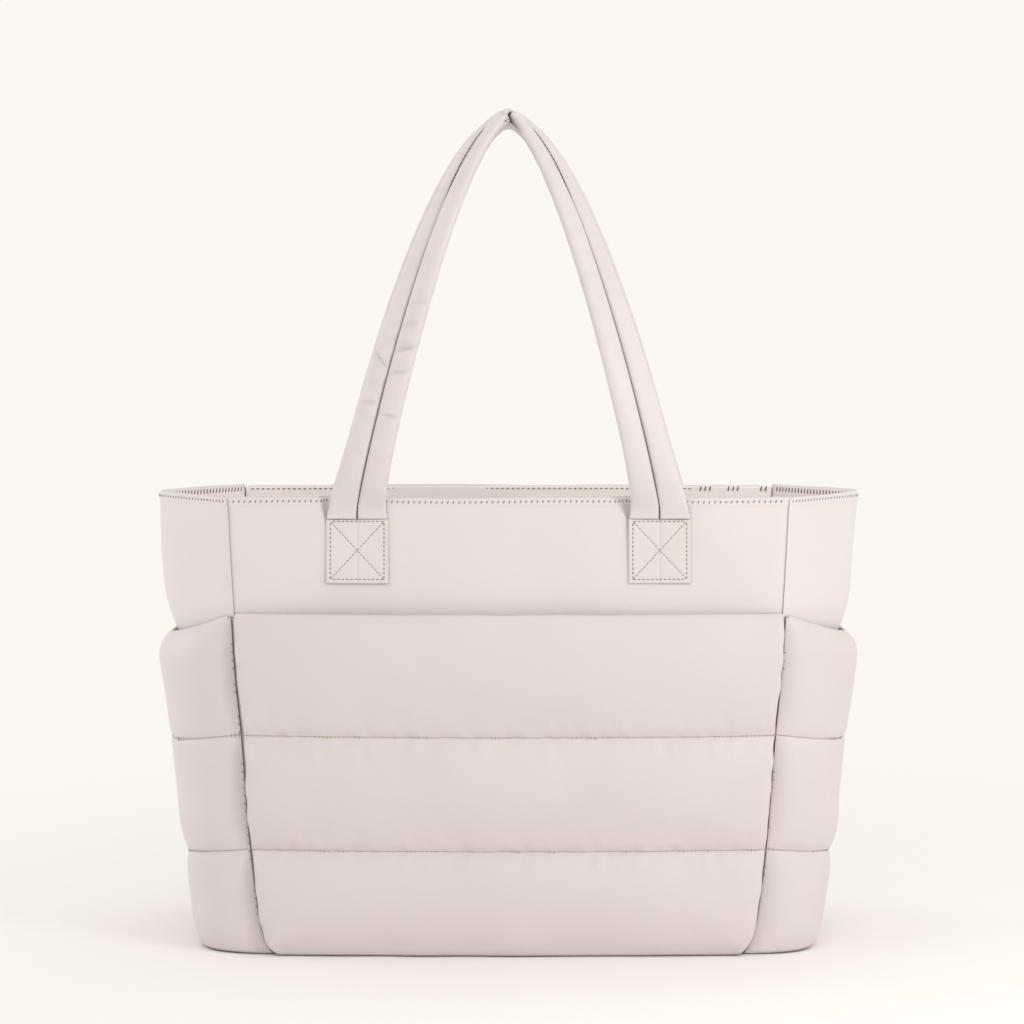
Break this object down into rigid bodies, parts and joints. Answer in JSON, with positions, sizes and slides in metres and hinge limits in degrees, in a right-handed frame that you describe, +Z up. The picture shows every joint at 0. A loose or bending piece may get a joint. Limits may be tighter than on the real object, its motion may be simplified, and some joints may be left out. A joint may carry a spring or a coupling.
{
  "type": "quilted puffer tote bag",
  "caption": "Quilted padded tote bag with an open top, a stuffed patch pocket in front, stuffed pockets on the gussets and padded shoulder handles.",
  "frame": {"origin": "under the middle of the bag, on the floor that it stands on", "axes": "+Z up, -Y out of the front with the patch pocket, +X to the right of someone who looks at the front"},
  "size_m": [0.4846, 0.23, 0.5632],
  "materials": {
    "shell": "pale blush nylon taffeta over thin wadding, soft sheen",
    "pocket": "pale blush nylon taffeta, quilted over thick wadding",
    "strap": "pale blush nylon taffeta, stuffed and sewn down the middle",
    "base": "pale blush nylon taffeta over firm wadding"
  },
  "bodies": {
    "root": {"front_panel": "shell", "back_panel": "shell", "left_gusset": "shell", "right_gusset": "shell", "base_panel": "base", "front_pocket": "pocket", "left_side_pocket": "pocket", "right_side_pocket": "pocket", "front_handle": "strap", "back_handle": "strap"}
  },
  "joints": []
}
